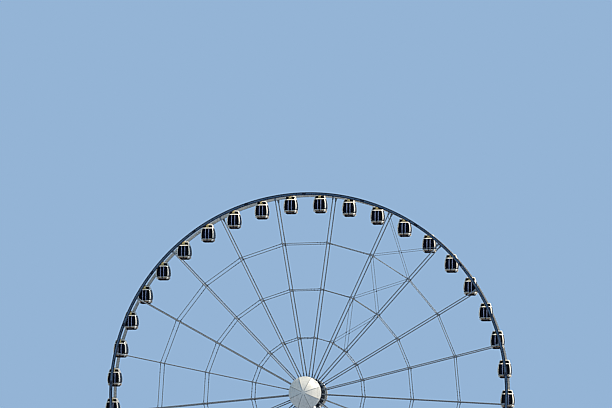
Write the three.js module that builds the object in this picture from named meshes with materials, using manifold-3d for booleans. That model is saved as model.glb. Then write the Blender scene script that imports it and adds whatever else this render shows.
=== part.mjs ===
// Half-size model of a transportable observation wheel with enclosed cabins.
// x runs across the wheel, y along its axle with the front at -y, and z up from the ground.
// The origin is on the ground, under the middle of the wheel.

import * as THREE from 'three';
import { mergeVertices } from 'three/addons/utils/BufferGeometryUtils.js';
import Module from 'manifold-3d';

const wasm = await Module();
wasm.setup();

// Scale: full size is given in metres below, and the model is in millimetres
const MODEL_SCALE = 0.5;
const full = (metres) => metres * 1000 * MODEL_SCALE;

// Gap between pieces that touch, in millimetres of the model
const SEAT_GAP = 0.3;

// Wheel
const HUB_HEIGHT = full(31.8);
const CABIN_COUNT = 42;
const SPOKE_COUNT = 21;
const REST_TURN = THREE.MathUtils.degToRad(0.8);
const TOP = Math.PI / 2 + REST_TURN;
const RIM_OUTER = full(27.4);
const RIM_INNER = full(27.0);
const RIM_SIDES = 84;
const RIM_SPACING = full(2.6);
const RIM_WIDTH = full(0.25);
const PIVOT_RADIUS = full(27.2);

// Bearing block of a cabin, on the inner side of a rim
const BLOCK_SIZE = full(0.26);
const BLOCK_LENGTH = full(0.145);

// Spokes, tie rings, braces and cross struts
const SPOKE_SIZE = full(0.14);
const TIE_SIZE = full(0.1);
const BRACE_SIZE = full(0.06);
const STRUT_SIZE = full(0.11);
const TIE_RADII = [full(7.65), full(14.3), full(20.7)];
const BRACE_REACH = full(26.5);
const BRACED_BAYS = [18, 7];

// Hub
const FLANGE_RADIUS = full(2.1);
const FLANGE_THICKNESS = full(0.4);
const DRUM_RADIUS = full(1.25);
const DRUM_SIDES = 24;
const SHAFT_RADIUS = full(0.45);
const SHAFT_SIDES = 24;
const SHAFT_LENGTH = full(5.2);

// Bearing housings and hub caps
const HOUSING_NEAR = full(1.75);
const HOUSING_FAR = full(2.75);
const HOUSING_HALF_WIDTH = full(1.05);
const HOUSING_DROP = full(0.85);
const HOUSING_SHOULDER = full(0.25);
const HOUSING_CROWN_STEPS = 8;
const CAP_RADIUS = full(2.22);
const CAP_LIP = full(0.14);
const CAP_BULGE = full(1.2);
const CAP_SIDES = 28;
const CAP_STEPS = 6;

// Legs
const LEG_RADIUS = full(0.4);
const LEG_SIDES = 8;
const LEG_TOP_X = full(0.6);
const LEG_TOP_Y = full(2.2);
const LEG_FOOT_X = full(11.5);
const LEG_FOOT_Y = full(4.45);
const LEG_SPARE = full(1.5);

// Base frame
const PAD_HEIGHT = full(0.12);
const PAD_SIZE = full(1.1);
const BEAM_WIDTH = full(0.5);
const BEAM_HEIGHT = full(0.45);
const SIDE_BEAM_LENGTH = full(25);
const CROSS_BEAM_LENGTH = full(13);
const CROSS_BEAM_XS = [full(-11.5), full(-4.2), full(4.2), full(11.5)];
const SHOE_SIZE = full(1.2);
const SHOE_HEIGHT = full(0.25);
const BEAM_TOP = PAD_HEIGHT + BEAM_HEIGHT;
const SHOE_TOP = BEAM_TOP + SHOE_HEIGHT;

// Boarding decks
const DECK_TOP = full(2.35);
const DECK_THICKNESS = full(0.2);
const DECK_HALF_LENGTH = full(5.6);
const DECK_INNER = full(1.1);
const DECK_OUTER = full(4.15);
const DECK_POST_SIZE = full(0.2);
const DECK_POST_YS = [full(1.45), full(3.8)];

// Railings
const RAIL_HEIGHT = full(1.1);
const RAIL_SIZE = full(0.06);
const RAIL_POST_SIZE = full(0.08);
const RAIL_INSET = full(0.1);
const RAIL_GATE_HALF = full(1.3);

// Steps
const RISER_COUNT = 12;
const TREAD_DEPTH = full(0.3);
const STEPS_HALF_WIDTH = full(1.2);
const STEPS_THICKNESS = full(0.4);
const HANDRAIL_TREADS = [1, 6, 11];

// Cabin: half widths of the barrel at heights under the pivot
const BARREL = [
  [full(0.54), full(-2.6)],
  [full(0.84), full(-2.28)],
  [full(0.95), full(-1.72)],
  [full(0.87), full(-0.95)],
  [full(0.63), full(-0.33)],
  [full(0.56), full(-0.14)],
];
const BARREL_CORNER = full(1.17);
const HANGER_TOP = full(0.12);
const HANGER_BOTTOM = full(-0.42);
const HANGER_TOP_HALF = full(0.13);
const HANGER_BOTTOM_HALF = full(0.3);

// Colours, from the photograph
const FINISHES = {
  rim: { color: 0x2a3350, roughness: 0.45, metalness: 0.3 },
  spoke: { color: 0xd9d5cf, roughness: 0.45, metalness: 0.3 },
  hub: { color: 0xd6d2cc, roughness: 0.5, metalness: 0.3 },
  cap: { color: 0xe9e5de, roughness: 0.5, metalness: 0.0 },
  leg: { color: 0xe4e1dc, roughness: 0.5, metalness: 0.2 },
  base: { color: 0x8a8f96, roughness: 0.6, metalness: 0.3 },
  deck: { color: 0xa7a9a8, roughness: 0.7, metalness: 0.2 },
  cabin: { color: 0x3a4563, roughness: 0.3, metalness: 0.1 },
};

// Solids: joining, cutting and turning back into geometry
function toSolid(geometry) {
  const bare = geometry.clone();
  bare.deleteAttribute('normal');
  bare.deleteAttribute('uv');
  const welded = mergeVertices(bare, 1e-3);
  const corners = welded.index.array;
  const kept = [];
  for (let i = 0; i < corners.length; i += 3) {
    const [a, b, c] = [corners[i], corners[i + 1], corners[i + 2]];
    if (a !== b && b !== c && c !== a) {
      kept.push(a, b, c);
    }
  }
  return new wasm.Manifold(new wasm.Mesh({
    numProp: 3,
    vertProperties: new Float32Array(welded.attributes.position.array),
    triVerts: new Uint32Array(kept),
  }));
}

function toGeometry(solid) {
  const mesh = solid.getMesh();
  const geometry = new THREE.BufferGeometry();
  geometry.setAttribute('position', new THREE.BufferAttribute(mesh.vertProperties, 3));
  geometry.setIndex(new THREE.BufferAttribute(mesh.triVerts, 1));
  geometry.computeVertexNormals();
  return geometry;
}

function join(geometries) {
  let whole = toSolid(geometries[0]);
  for (const geometry of geometries.slice(1)) {
    whole = whole.add(toSolid(geometry));
  }
  return toGeometry(whole);
}

// Points of a plane across the axle: x is across, y stands for the height over the hub
function polar(radius, angle) {
  return new THREE.Vector2(radius * Math.cos(angle), radius * Math.sin(angle));
}

// Corners of a regular polygon with the middle of one side at the given angle
function flatSided(flatRadius, sides, angle) {
  const cornerRadius = flatRadius / Math.cos(Math.PI / sides);
  const corners = [];
  for (let i = 0; i < sides; i += 1) {
    corners.push(polar(cornerRadius, angle + (i + 0.5) * (2 * Math.PI / sides)));
  }
  return corners;
}

// Outline in x and z, run along y
function alongY(outline, yLow, yHigh, hole) {
  const shape = new THREE.Shape(outline);
  if (hole) {
    shape.holes.push(new THREE.Path(hole));
  }
  const geometry = new THREE.ExtrudeGeometry(shape, { depth: yHigh - yLow, bevelEnabled: false });
  geometry.rotateX(Math.PI / 2);
  geometry.translate(0, yHigh, 0);
  return geometry;
}

// Box between two corners
function block(low, high) {
  const geometry = new THREE.BoxGeometry(high[0] - low[0], high[1] - low[1], high[2] - low[2]);
  geometry.translate((low[0] + high[0]) / 2, (low[1] + high[1]) / 2, (low[2] + high[2]) / 2);
  return geometry;
}

// Upright post of square section
function post(x, y, bottom, top, size) {
  return block([x - size / 2, y - size / 2, bottom], [x + size / 2, y + size / 2, top]);
}

// Square bar between two points of the plane at y
function barAcross(from, to, y, size) {
  const run = new THREE.Vector2().subVectors(to, from);
  const geometry = new THREE.BoxGeometry(run.length(), size, size);
  geometry.rotateY(-Math.atan2(run.y, run.x));
  geometry.translate((from.x + to.x) / 2, y, (from.y + to.y) / 2);
  return geometry;
}

// Square bar between two points with the same x
function barUpSteps(x, from, to, size) {
  const run = new THREE.Vector2().subVectors(to, from);
  const geometry = new THREE.BoxGeometry(size, run.length(), size);
  geometry.rotateX(Math.atan2(run.y, run.x));
  geometry.translate(x, (from.x + to.x) / 2, (from.y + to.y) / 2);
  return geometry;
}

// Angles of spokes and cabins: with no rest turn, two of each would stand evenly on both sides of the top
function spokeAngle(index) {
  return TOP + (index + 0.5) * (2 * Math.PI / SPOKE_COUNT);
}

function cabinAngle(index) {
  return TOP + (index + 0.5) * (2 * Math.PI / CABIN_COUNT);
}

// Rim with the cabins' bearing blocks on the side that faces the cabins
function rim(side) {
  const middle = side * RIM_SPACING / 2;
  const ring = alongY(
    flatSided(RIM_OUTER, RIM_SIDES, TOP),
    middle - RIM_WIDTH / 2,
    middle + RIM_WIDTH / 2,
    flatSided(RIM_INNER, RIM_SIDES, TOP),
  );
  const pieces = [ring];
  for (let i = 0; i < CABIN_COUNT; i += 1) {
    const length = BLOCK_LENGTH + RIM_WIDTH / 2;
    const bearing = new THREE.BoxGeometry(BLOCK_SIZE, length, BLOCK_SIZE);
    bearing.rotateY(-cabinAngle(i));
    const centre = polar(PIVOT_RADIUS, cabinAngle(i));
    bearing.translate(centre.x, middle - side * length / 2, centre.y);
    pieces.push(bearing);
  }
  return join(pieces);
}

// Tie ring of straight bars from spoke to spoke
function tieRing(radius, y) {
  const bars = [];
  for (let i = 0; i < SPOKE_COUNT; i += 1) {
    bars.push(barAcross(polar(radius, spokeAngle(i)), polar(radius, spokeAngle(i + 1)), y, TIE_SIZE));
  }
  return bars;
}

// Crossed braces between two spokes, a pair in each field from the inner tie ring to the rim
function crossBraces(bay, y) {
  const levels = [...TIE_RADII, BRACE_REACH];
  const bars = [];
  for (let i = 0; i + 1 < levels.length; i += 1) {
    for (const [start, end] of [[bay, bay + 1], [bay + 1, bay]]) {
      const from = polar(levels[i], spokeAngle(start));
      const to = polar(levels[i + 1], spokeAngle(end));
      bars.push(barAcross(from, to, y, BRACE_SIZE));
    }
  }
  return bars;
}

// Struts from the front spokes to the face of the rear spokes
function crossStruts() {
  const low = -RIM_SPACING / 2;
  const high = RIM_SPACING / 2 - SPOKE_SIZE / 2 - SEAT_GAP;
  const struts = [];
  for (const radius of TIE_RADII) {
    for (let i = 0; i < SPOKE_COUNT; i += 1) {
      const strut = new THREE.BoxGeometry(STRUT_SIZE, high - low, STRUT_SIZE);
      strut.rotateY(-spokeAngle(i));
      const centre = polar(radius, spokeAngle(i));
      strut.translate(centre.x, (low + high) / 2, centre.y);
      struts.push(strut);
    }
  }
  return struts;
}

// All spokes of one side with their ties and braces
function spokes(side) {
  const y = side * RIM_SPACING / 2;
  const bars = [];
  for (const radius of TIE_RADII) {
    bars.push(...tieRing(radius, y));
  }
  for (let i = 0; i < SPOKE_COUNT; i += 1) {
    const from = polar(FLANGE_RADIUS + SEAT_GAP, spokeAngle(i));
    const to = polar(RIM_INNER - SEAT_GAP, spokeAngle(i));
    bars.push(barAcross(from, to, y, SPOKE_SIZE));
  }
  for (const bay of BRACED_BAYS) {
    bars.push(...crossBraces(bay, y));
  }
  if (side < 0) {
    bars.push(...crossStruts());
  }
  return join(bars);
}

// Hub: a drum with a flange for the spokes at each side, on a shaft through both
function hubSpool() {
  const pieces = [];
  for (const side of [-1, 1]) {
    const middle = side * RIM_SPACING / 2;
    pieces.push(alongY(
      flatSided(FLANGE_RADIUS, SPOKE_COUNT, spokeAngle(0)),
      middle - FLANGE_THICKNESS / 2,
      middle + FLANGE_THICKNESS / 2,
    ));
  }
  const drum = flatSided(DRUM_RADIUS, DRUM_SIDES, TOP);
  pieces.push(alongY(drum, -RIM_SPACING / 2, RIM_SPACING / 2));
  const shaft = new THREE.CylinderGeometry(SHAFT_RADIUS, SHAFT_RADIUS, SHAFT_LENGTH, SHAFT_SIDES);
  pieces.push(shaft);
  return join(pieces);
}

// Bearing housing with a round crown and a bore for the shaft
function bearingHousing(side) {
  const outline = [
    new THREE.Vector2(-HOUSING_HALF_WIDTH, -HOUSING_DROP),
    new THREE.Vector2(HOUSING_HALF_WIDTH, -HOUSING_DROP),
    new THREE.Vector2(HOUSING_HALF_WIDTH, -HOUSING_SHOULDER),
  ];
  const crownRadius = HOUSING_DROP;
  for (let i = 0; i <= HOUSING_CROWN_STEPS; i += 1) {
    outline.push(polar(crownRadius, i * Math.PI / HOUSING_CROWN_STEPS));
  }
  outline.push(new THREE.Vector2(-HOUSING_HALF_WIDTH, -HOUSING_SHOULDER));
  const bore = flatSided(SHAFT_RADIUS + SEAT_GAP, SHAFT_SIDES, Math.PI / 2);
  const [near, far] = side < 0 ? [-HOUSING_FAR, -HOUSING_NEAR] : [HOUSING_NEAR, HOUSING_FAR];
  return alongY(outline, near, far, bore);
}

// Domed cap on the outer face of a bearing housing
function hubCap(side) {
  const back = HOUSING_FAR + SEAT_GAP;
  const domeRadius = (CAP_RADIUS ** 2 + CAP_BULGE ** 2) / (2 * CAP_BULGE);
  const spread = Math.asin(CAP_RADIUS / domeRadius);
  const profile = [new THREE.Vector2(0, back), new THREE.Vector2(CAP_RADIUS, back)];
  for (let i = 0; i < CAP_STEPS; i += 1) {
    const angle = spread * (1 - i / CAP_STEPS);
    const rise = domeRadius * (Math.cos(angle) - Math.cos(spread));
    profile.push(new THREE.Vector2(domeRadius * Math.sin(angle), back + CAP_LIP + rise));
  }
  profile.push(new THREE.Vector2(0, back + CAP_LIP + CAP_BULGE));
  const cap = new THREE.LatheGeometry(profile, CAP_SIDES);
  if (side < 0) {
    cap.rotateX(Math.PI);
  }
  return toGeometry(toSolid(cap));
}

// Front leg from a shoe of the base frame to the underside of a bearing housing
function frontLeg(side) {
  const foot = new THREE.Vector3(side * LEG_FOOT_X, -LEG_FOOT_Y, SHOE_TOP + SEAT_GAP);
  const top = new THREE.Vector3(side * LEG_TOP_X, -LEG_TOP_Y, HUB_HEIGHT - HOUSING_DROP - SEAT_GAP);
  const run = new THREE.Vector3().subVectors(top, foot);
  const tube = new THREE.CylinderGeometry(LEG_RADIUS, LEG_RADIUS, run.length() + LEG_SPARE, LEG_SIDES);
  const up = new THREE.Vector3(0, 1, 0);
  tube.applyQuaternion(new THREE.Quaternion().setFromUnitVectors(up, run.clone().normalize()));
  const middle = foot.clone().add(top).multiplyScalar(0.5);
  tube.translate(middle.x, middle.y, middle.z);
  const reach = LEG_FOOT_X + LEG_SPARE;
  const between = block([-reach, -reach, foot.z], [reach, reach, top.z]);
  return toGeometry(toSolid(tube).intersect(toSolid(between)));
}

// Base frame: two side beams and four cross beams on pads, with shoes for the legs
function baseFrame() {
  const pieces = [];
  const halfLength = SIDE_BEAM_LENGTH / 2;
  const halfCross = CROSS_BEAM_LENGTH / 2;
  const sideTop = BEAM_TOP - SEAT_GAP;
  for (const side of [-1, 1]) {
    const y = side * LEG_FOOT_Y;
    pieces.push(block(
      [-halfLength, y - BEAM_WIDTH / 2, PAD_HEIGHT],
      [halfLength, y + BEAM_WIDTH / 2, sideTop],
    ));
  }
  for (const x of CROSS_BEAM_XS) {
    pieces.push(block(
      [x - BEAM_WIDTH / 2, -halfCross, PAD_HEIGHT],
      [x + BEAM_WIDTH / 2, halfCross, BEAM_TOP],
    ));
    for (const side of [-1, 1]) {
      const y = side * (halfCross - PAD_SIZE / 2);
      pieces.push(post(x, y, 0, PAD_HEIGHT + BEAM_HEIGHT / 2, PAD_SIZE));
    }
  }
  for (const sideX of [-1, 1]) {
    for (const sideY of [-1, 1]) {
      const [x, y] = [sideX * LEG_FOOT_X, sideY * LEG_FOOT_Y];
      pieces.push(post(x, y, 0, PAD_HEIGHT + BEAM_HEIGHT / 2, PAD_SIZE));
      pieces.push(post(x, y, PAD_HEIGHT + BEAM_HEIGHT / 2, SHOE_TOP, SHOE_SIZE));
    }
  }
  return join(pieces);
}

// Railing along one straight run, from point to point on the deck
function railing(from, to, bays) {
  const pieces = [];
  const bottom = DECK_TOP - DECK_THICKNESS / 2;
  for (let i = 0; i <= bays; i += 1) {
    const place = from.clone().lerp(to, i / bays);
    pieces.push(post(place.x, place.y, bottom, DECK_TOP + RAIL_HEIGHT, RAIL_POST_SIZE));
  }
  for (const height of [RAIL_HEIGHT / 2, RAIL_HEIGHT - RAIL_SIZE]) {
    const low = [Math.min(from.x, to.x) - RAIL_SIZE / 2, Math.min(from.y, to.y) - RAIL_SIZE / 2];
    const high = [Math.max(from.x, to.x) + RAIL_SIZE / 2, Math.max(from.y, to.y) + RAIL_SIZE / 2];
    const base = DECK_TOP + height - RAIL_SIZE / 2;
    pieces.push(block([...low, base], [...high, base + RAIL_SIZE]));
  }
  return pieces;
}

// Boarding deck on posts that stand on the cross beams, railed on three sides but for the gate
function deck(side) {
  const ys = [side * DECK_INNER, side * DECK_OUTER].sort((a, b) => a - b);
  const pieces = [block(
    [-DECK_HALF_LENGTH, ys[0], DECK_TOP - DECK_THICKNESS],
    [DECK_HALF_LENGTH, ys[1], DECK_TOP],
  )];
  for (const x of CROSS_BEAM_XS.slice(1, 3)) {
    for (const y of DECK_POST_YS) {
      const top = DECK_TOP - DECK_THICKNESS / 2;
      pieces.push(post(x, side * y, BEAM_TOP + SEAT_GAP, top, DECK_POST_SIZE));
    }
  }
  const outer = side * (DECK_OUTER - RAIL_INSET);
  const inner = side * (DECK_INNER + RAIL_INSET);
  for (const sideX of [-1, 1]) {
    const end = sideX * (DECK_HALF_LENGTH - RAIL_INSET);
    const corner = new THREE.Vector2(end, outer);
    pieces.push(...railing(new THREE.Vector2(sideX * RAIL_GATE_HALF, outer), corner, 3));
    pieces.push(...railing(corner, new THREE.Vector2(end, inner), 2));
  }
  return join(pieces);
}

// Flight of steps from the ground to the gate of a deck, with a handrail at each side
function steps(side) {
  const riser = DECK_TOP / RISER_COUNT;
  const start = DECK_OUTER + SEAT_GAP;
  const outline = [];
  for (let i = 0; i < RISER_COUNT; i += 1) {
    outline.push(new THREE.Vector2(start + i * TREAD_DEPTH, DECK_TOP - i * riser));
    outline.push(new THREE.Vector2(start + (i + 1) * TREAD_DEPTH, DECK_TOP - i * riser));
  }
  const end = start + RISER_COUNT * TREAD_DEPTH;
  const soffitDrop = STEPS_THICKNESS;
  const slope = riser / TREAD_DEPTH;
  const soffitEnd = start + (DECK_TOP - soffitDrop) / slope;
  outline.push(new THREE.Vector2(end, 0));
  outline.push(new THREE.Vector2(soffitEnd, 0));
  outline.push(new THREE.Vector2(start, DECK_TOP - soffitDrop));
  const flight = new THREE.ExtrudeGeometry(
    new THREE.Shape(outline),
    { depth: 2 * STEPS_HALF_WIDTH, bevelEnabled: false },
  );
  flight.translate(0, 0, -STEPS_HALF_WIDTH);
  flight.rotateX(Math.PI / 2);
  flight.rotateZ(Math.PI / 2);
  const pieces = [flight];
  for (const sideX of [-1, 1]) {
    const x = sideX * (STEPS_HALF_WIDTH - RAIL_INSET);
    const tops = HANDRAIL_TREADS.map((tread) => {
      const y = start + (tread - 0.5) * TREAD_DEPTH;
      const foot = DECK_TOP - (tread - 1) * riser;
      pieces.push(post(x, y, foot - riser / 2, foot + RAIL_HEIGHT, RAIL_POST_SIZE));
      return new THREE.Vector2(y, foot + RAIL_HEIGHT - RAIL_SIZE);
    });
    pieces.push(barUpSteps(x, tops[0], tops[tops.length - 1], RAIL_SIZE));
  }
  const whole = join(pieces);
  if (side < 0) {
    whole.rotateZ(Math.PI);
  }
  return whole;
}

// Cabin: a barrel of square plan with its corners cut, under a hanger between the bearing blocks
function cabin() {
  const bottom = BARREL[0][1];
  const roof = BARREL[BARREL.length - 1][1];
  const corner = Math.SQRT2;
  const profile = [new THREE.Vector2(0, bottom)];
  for (const [halfWidth, height] of BARREL) {
    profile.push(new THREE.Vector2(halfWidth * corner, height));
  }
  profile.push(new THREE.Vector2(0, roof));
  const barrel = new THREE.LatheGeometry(profile, 4, Math.PI / 4);
  barrel.rotateX(Math.PI / 2);
  const cutter = new THREE.BoxGeometry(2 * BARREL_CORNER, 2 * BARREL_CORNER, 4 * (roof - bottom));
  cutter.rotateZ(Math.PI / 4);
  const reach = RIM_SPACING / 2 - RIM_WIDTH / 2 - BLOCK_LENGTH - SEAT_GAP;
  const hanger = alongY([
    new THREE.Vector2(-HANGER_BOTTOM_HALF, HANGER_BOTTOM),
    new THREE.Vector2(HANGER_BOTTOM_HALF, HANGER_BOTTOM),
    new THREE.Vector2(HANGER_TOP_HALF, HANGER_TOP),
    new THREE.Vector2(-HANGER_TOP_HALF, HANGER_TOP),
  ], -reach, reach);
  return toGeometry(toSolid(barrel).intersect(toSolid(cutter)).add(toSolid(hanger)));
}

// Assembly
const wheel = new THREE.Group();
wheel.position.set(0, 0, HUB_HEIGHT);
const structure = new THREE.Group();
const assembly = new THREE.Group();
assembly.add(structure, wheel);

function place(group, name, geometry, finish) {
  const mesh = new THREE.Mesh(geometry, new THREE.MeshStandardMaterial(FINISHES[finish]));
  mesh.name = name;
  group.add(mesh);
  return mesh;
}

place(wheel, 'hub_spool', hubSpool(), 'hub');
for (const [end, side] of [['front', -1], ['rear', 1]]) {
  place(wheel, `rim_${end}`, rim(side), 'rim');
  place(wheel, `spokes_${end}`, spokes(side), 'spoke');
  for (const [name, geometry, finish] of [
    ['bearing', bearingHousing(side), 'leg'],
    ['hub_cap', hubCap(side), 'cap'],
  ]) {
    const mesh = place(structure, `${name}_${end}`, geometry, finish);
    mesh.position.set(0, 0, HUB_HEIGHT);
  }
  for (const [hand, sideX] of [['left', -1], ['right', 1]]) {
    const halfTurn = side < 0 ? 0 : Math.PI;
    const legSide = side < 0 ? sideX : -sideX;
    place(structure, `leg_${end}_${hand}`, frontLeg(legSide), 'leg').rotation.set(0, 0, halfTurn);
  }
  place(structure, `deck_${end}`, deck(side), 'deck');
  place(structure, `steps_${end}`, steps(side), 'deck');
}
place(structure, 'base_frame', baseFrame(), 'base');

const cabinGeometry = cabin();
for (let i = 0; i < CABIN_COUNT; i += 1) {
  const number = String(i + 1).padStart(2, '0');
  const mesh = place(wheel, `cabin_${number}`, cabinGeometry, 'cabin');
  const pivot = polar(PIVOT_RADIUS, cabinAngle(i));
  mesh.position.set(pivot.x, 0, pivot.y);
}

export default assembly;
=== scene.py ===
"""Looks of a half-size transportable observation wheel with enclosed cabins.

x runs across the wheel, y along its axle with the front at -y, and z up from the ground. Lengths are in
metres of the full-size wheel, and every mesh is scaled as it is made.
"""

import math

import bmesh
import bpy
from mathutils import Matrix, Vector


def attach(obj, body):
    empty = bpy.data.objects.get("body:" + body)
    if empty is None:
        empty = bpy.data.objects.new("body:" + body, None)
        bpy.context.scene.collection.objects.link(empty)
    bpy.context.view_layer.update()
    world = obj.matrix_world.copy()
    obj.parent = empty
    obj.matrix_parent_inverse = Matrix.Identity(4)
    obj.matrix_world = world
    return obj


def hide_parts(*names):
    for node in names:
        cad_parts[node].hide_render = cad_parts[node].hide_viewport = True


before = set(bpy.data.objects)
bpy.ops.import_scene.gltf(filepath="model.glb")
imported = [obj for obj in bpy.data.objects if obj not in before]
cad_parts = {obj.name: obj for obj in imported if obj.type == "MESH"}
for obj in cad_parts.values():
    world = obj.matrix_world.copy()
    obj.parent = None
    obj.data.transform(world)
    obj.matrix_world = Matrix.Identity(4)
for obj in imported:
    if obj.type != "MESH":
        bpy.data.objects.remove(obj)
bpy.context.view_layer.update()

MODEL_SCALE = 0.5
CREASE, DOME_CREASE = math.radians(32), math.radians(9)
MERGE_DISTANCE = 1e-6
FULL_TURN = 2 * math.pi
UP = Vector((0, 0, 1))
ENDS = {-1: "front", 1: "rear"}

# Wheel
HUB_HEIGHT = 31.8
CABIN_COUNT = 42
SPOKE_COUNT = 21
TOP = math.radians(90.8)
RIM_OUTER = 27.4
RIM_INNER = 27.0
RIM_MIDDLE = (RIM_INNER + RIM_OUTER) / 2
RIM_SPACING = 2.6
RIM_WIDTH = 0.25
RIM_STEPS = 336
RIM_CUT = 0.012
FLANGE_DEPTH = 0.1
WEB_RECESS = 0.035
PIVOT_RADIUS = 27.2
BEARING_LENGTH = 0.144
TIE_RADII = (7.65, 14.3, 20.7)
BRACE_REACH = 26.5
BRACED_BAYS = (18, 7)
SPOKE_TUBE, TIE_TUBE, STRUT_TUBE, BRACE_ROD = 0.07, 0.042, 0.05, 0.026
SLEEVE_TUBE, SLEEVE_RING, SLEEVE_HALF = 0.092, 0.104, 0.17

# Hub
FLANGE_RADIUS = 2.1
FLANGE_THICKNESS = 0.4
FLANGE_PLATE = 0.06
CORE_RADIUS = 1.78
DRUM_RADIUS = 1.25
DRUM_RIBS = 7
SHAFT_RADIUS = 0.45
SHAFT_HALF = 2.6
HOUSING_NEAR = 1.75
HOUSING_FAR = 2.75
HOUSING_HALF = 1.05
HOUSING_DROP = 0.85
HOUSING_SHOULDER = 0.25
HOUSING_BOLTS = 12
SEAL_RING_RADIUS = 0.56
CAP_RADIUS = 2.22
CAP_LIP = 0.14
CAP_BULGE = 1.2
CAP_GORES, CAP_BOLTS = 8, 24
CAP_TURN = math.radians(21.5)

# Legs and base frame
LEG_RADIUS = 0.4
LEG_TOP = (0.6, 2.2)
LEG_FOOT = (11.5, 4.45)
LEG_JOINTS = (0.25, 0.5, 0.75)
LEG_BOLTS = 16
PAD_HEIGHT = 0.12
PAD_SIZE = 1.1
BEAM_WIDTH = 0.5
BEAM_TOP = 0.57
BEAM_SKIN = 0.045
SIDE_BEAM_HALF = 12.5
CROSS_BEAM_HALF = 6.5
CROSS_BEAM_XS = (-11.5, -4.2, 4.2, 11.5)
SHOE_SIZE = 1.2
SHOE_TOP = 0.82
SHOE_PLATE = 0.05

# Decks and steps
DECK_TOP = 2.35
DECK_THICKNESS = 0.2
DECK_HALF = 5.6
DECK_INNER = 1.1
DECK_OUTER = 4.15
DECK_POST_YS = (1.45, 3.8)
DECK_PANELS = 8
DECK_PARTS = 3
CHANNEL = 0.05
RAIL_HEIGHT = 1.1
RAIL_TOP = RAIL_HEIGHT - 0.03
RAIL_INSET = 0.1
RAIL_GATE_HALF = 1.3
TOE_RAIL = 0.16
RISER_COUNT = 12
TREAD_DEPTH = 0.3
STEPS_HALF = 1.2
STEPS_THICKNESS = 0.4
STRINGER_WIDTH = 0.04
TREAD_THICKNESS = 0.035
HANDRAIL_TREADS = (1, 6, 11)

# Cabin: half widths of the barrel at heights under the pivot, and the bands across it
BARREL = (
    (-2.6, 0.44), (-2.3, 0.71), (-2.1, 0.83), (-1.72, 0.94), (-0.95, 0.87), (-0.33, 0.66), (-0.1, 0.6),
)
EXTRA_WIDTH = 0.03
CORNER_SHARE = 0.44
CORNER_ARC = 0.19
SILL = (-2.33, -2.06)
LEDGE_HEIGHT = 0.1
POST_FOOT = -1.97
HEADER = (-0.67, -0.54)
ROOF = (-0.2, -0.09)
MULLION_PLACE = 0.22
POST_SHIFT, POST_REACH = 0.014, 0.059
PANEL_STEPS = (0.08, 0.127, 0.19, 0.3, 0.5, 0.7, 0.81, 0.873, 0.92)
CORNER_STEPS = (0.0, 0.063, 0.127, 0.19, 0.3, 0.42, 0.58, 0.7, 0.81, 0.873, 0.937)
SHARES = [side + step for side in range(4) for step in CORNER_STEPS]

# Foot of a cabin: (height, reach, half width), (height, inset) and (height, width, depth)
BUMPER = (
    (-2.4, 0.062, 0.78), (-2.38, 0.072, 0.81), (-2.33, 0.078, 0.84),
    (-2.22, 0.08, 0.865), (-2.15, 0.076, 0.865), (-2.11, 0.068, 0.845),
)
BELLY = ((SILL[0] + 0.02, 0.04), (-2.4, 0.06), (-2.5, 0.06), (-2.53, 0.05))
POD_PLACE = 0.42
POD = ((-2.33, 0.44, 1.18), (-2.36, 0.5, 1.24), (-2.44, 0.5, 1.24), (-2.5, 0.4, 1.02), (-2.53, 0.26, 0.88))
SPINE = ((-2.33, 0.11, 1.22), (-2.42, 0.11, 1.22), (-2.48, 0.11, 1.18))

# Hanger of a cabin, in x and z
AXLE_REACH = 1.03
BRACKET = (
    (-0.27, HEADER[1] - 0.02), (0.27, HEADER[1] - 0.02), (0.24, HEADER[1] + 0.06), (0.085, -0.15),
    (0.075, 0.05), (0.03, 0.09), (-0.03, 0.09), (-0.075, 0.05), (-0.085, -0.15), (-0.24, HEADER[1] + 0.06),
)
SADDLE = (
    (-0.3, ROOF[1] - 0.02), (0.3, ROOF[1] - 0.02), (0.1, 0.05), (0.04, 0.085), (-0.04, 0.085), (-0.1, 0.05),
)

# Camera, fitted to the photograph
CAMERA_DISTANCE = 450.0
CAMERA_AZIMUTH = math.radians(9.39)
CAMERA_ELEVATION = math.radians(-2.26)
FOCAL_PIXELS = 3303.0
IMAGE_WIDTH, IMAGE_HEIGHT = 612, 408
HUB_PIXEL = (308.25, 393.64)
SENSOR_WIDTH = 36.0

# Light: the sun is high at the right
SUN_AZIMUTH = math.radians(86)
SUN_ELEVATION = math.radians(48)
SUN_STRENGTH = 4.6
SUN_SOFTNESS = math.radians(10)
SUN_COLOUR = (1.0, 0.92, 0.8)
SKY_COLOUR = (148, 180, 214)
FLOOR_REACH, FLOOR_SIDES = 1700.0, 64

# Picture
SCREEN_GAMMA = 2.2
CRISPNESS = 0.12


# Shapes, as (corners, faces)


def sweep(rings, closed=False, capped=True):
    """Joins rings of corners, with a face at each end unless closed or not capped."""
    count = len(rings[0])
    faces = []
    for i in range(len(rings) if closed else len(rings) - 1):
        here, there = i * count, (i + 1) % len(rings) * count
        for j in range(count):
            k = (j + 1) % count
            faces.append((here + j, here + k, there + k, there + j))
    if capped and not closed:
        last = (len(rings) - 1) * count
        faces += [tuple(reversed(range(count))), tuple(range(last, last + count))]
    return [Vector(p) for ring in rings for p in ring], faces


def on_circle(radius, turn):
    return radius * math.cos(turn), radius * math.sin(turn)


def circle(radius, sides):
    return [on_circle(radius, FULL_TURN * (i + 0.5) / sides) for i in range(sides)]


def chamfered(width, height, cut):
    """Rectangle with cut corners, round its middle."""
    w, h = width / 2, height / 2
    half = [(w, h - cut), (w - cut, h), (cut - w, h), (-w, h - cut)]
    return half + [(-x, -y) for x, y in half]


def mirrored(*half):
    """Outline from half of its points."""
    return [(a, -b) for a, b in half] + [(a, b) for a, b in reversed(half)]


def signs(a, b):
    return [(u, v) for u in (-a, a) for v in (-b, b)]


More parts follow.
